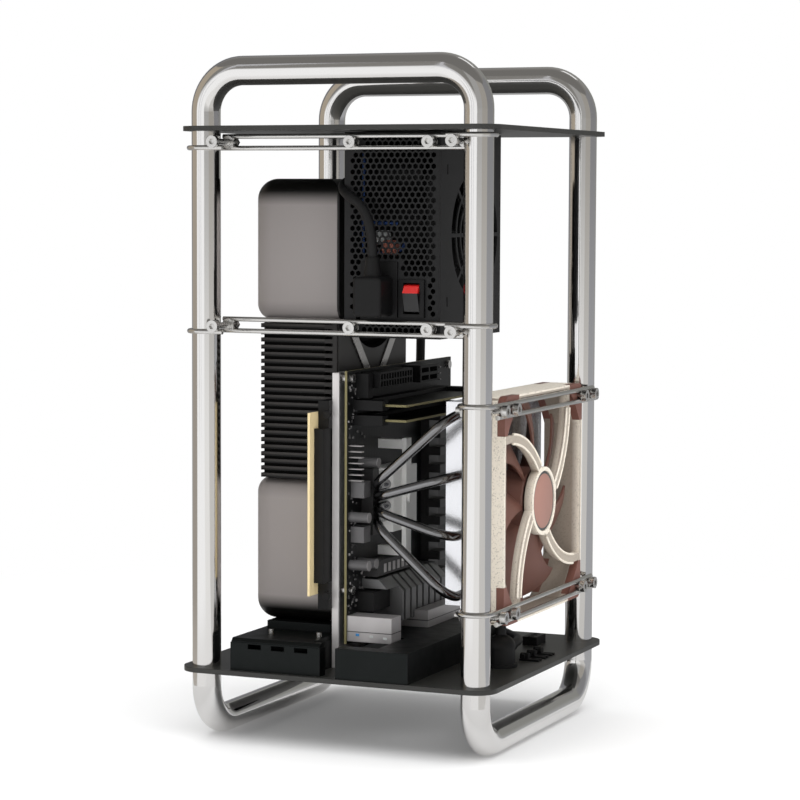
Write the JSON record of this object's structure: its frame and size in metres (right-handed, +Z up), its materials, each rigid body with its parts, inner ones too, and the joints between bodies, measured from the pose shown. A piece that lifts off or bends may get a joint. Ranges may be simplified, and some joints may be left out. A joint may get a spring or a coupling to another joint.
{
  "type": "mini-itx computer case",
  "caption": "Open upright tube-frame computer case with handle hoops, plates, wire cross bars, power supply, graphics card, board with cooler and side fan.",
  "frame": {"origin": "on the floor under the feet, midway between the four posts", "axes": "+Z up, +X to the right as seen from the power supply end, +Y to the back"},
  "size_m": [0.2107, 0.2157, 0.4251],
  "materials": {
    "tube_polished": "polished",
    "plate_black": "fine matt powder coat",
    "rod_steel": "bright drawn",
    "bolt_steel": "bright turned",
    "psu_black": "matt powder coat",
    "black_plastic": "moulded",
    "rocker": "moulded",
    "cord_black": "matt sheath",
    "gpu_black": "satin",
    "gpu_grey": "satin anodised",
    "circuit_board": "solder mask",
    "riser_ivory": "bare laminate edge",
    "pedestal_black": "matt powder coat",
    "tray_grey": "satin",
    "port_steel": "bright plated",
    "sink_grey": "satin",
    "sink_dark": "satin",
    "memory_dark": "solder mask",
    "pipe_nickel": "bright nickel",
    "fin_aluminium": "bright rolled",
    "fan_beige": "speckled",
    "fan_brown": "moulded"
  },
  "bodies": {
    "case": {"ac_lead": "cord_black", "ac_plug": "black_plastic", "board_heatsink": "sink_grey", "board_small_parts": "sink_dark", "board_sockets": "black_plastic", "board_tray": "tray_grey", "bottom_plate": "plate_black", "clamp_and_fan_bolts": "bolt_steel", "clamp_nuts": "bolt_steel", "cooler_base_and_bracket": "fin_aluminium", "cooler_fin_stack": "fin_aluminium", "cooler_heat_pipes": "pipe_nickel", "fan_frame": "fan_beige", "fan_pads": "fan_brown", "foot_hoop_left": "tube_polished", "foot_hoop_right": "tube_polished", "front_lower_rods": "rod_steel", "front_upper_rods": "rod_steel", "gpu_board": "circuit_board", "gpu_bracket": "pedestal_black", "gpu_face_plates": "gpu_grey", "gpu_fins": "gpu_black", "gpu_pedestal": "pedestal_black", "gpu_pedestal_lid": "pedestal_black", "gpu_shell_bottom": "gpu_black", "gpu_shell_top": "gpu_black", "gpu_trim": "gpu_grey", "header_pins": "port_steel", "io_pedestal": "pedestal_black", "io_ports": "port_steel", "leg_front_left": "tube_polished", "leg_front_right": "tube_polished", "leg_rear_left": "tube_polished", "leg_rear_right": "tube_polished", "memory_sticks": "memory_dark", "motherboard": "circuit_board", "pedestal_screws": "bolt_steel", "power_inlet_cap": "black_plastic", "psu_circuit": "circuit_board", "psu_cover": "psu_black", "psu_fan_frame": "black_plastic", "psu_inlet": "black_plastic", "psu_screws_and_washers": "bolt_steel", "psu_switch": "black_plastic", "psu_tray": "psu_black", "riser_board": "riser_ivory", "riser_slot_and_clips": "black_plastic", "side_lower_rods": "rod_steel", "side_upper_rods": "rod_steel", "standoffs_and_screws": "bolt_steel", "terminal_block_and_lugs": "black_plastic", "top_hoop_front": "tube_polished", "top_hoop_rear": "tube_polished", "top_plate": "plate_black", "tube_joiners": "bolt_steel"},
    "case_fan_rotor_body": {"fan_rotor": "fan_brown"},
    "psu_fan_rotor_body": {"psu_fan_rotor": "black_plastic"},
    "gpu_fan_top_body": {"gpu_fan_top": "black_plastic"},
    "gpu_fan_bottom_body": {"gpu_fan_bottom": "black_plastic"},
    "psu_rocker_body": {"psu_rocker": "rocker"}
  },
  "joints": [
    {"name": "case_fan_spin", "type": "hinge", "parent": "case", "child": "case_fan_rotor_body", "pos_m": [0.087, 0, 0.1494], "axis": [1, 0, 0], "continuous": true},
    {"name": "psu_fan_spin", "type": "hinge", "parent": "case", "child": "psu_fan_rotor_body", "pos_m": [0.053, -0.024, 0.3161], "axis": [1, 0, 0], "continuous": true},
    {"name": "gpu_fan_top_spin", "type": "hinge", "parent": "case", "child": "gpu_fan_top_body", "pos_m": [-0.03, -0.004, 0.2915], "axis": [1, 0, 0], "continuous": true},
    {"name": "gpu_fan_bottom_spin", "type": "hinge", "parent": "case", "child": "gpu_fan_bottom_body", "pos_m": [-0.06, -0.004, 0.1307], "axis": [1, 0, 0], "continuous": true},
    {"name": "psu_rocker_tilt", "type": "hinge", "parent": "case", "child": "psu_rocker_body", "pos_m": [0.0427, -0.0765, 0.278], "axis": [1, 0, 0], "range_deg": [-20, 0]}
  ]
}
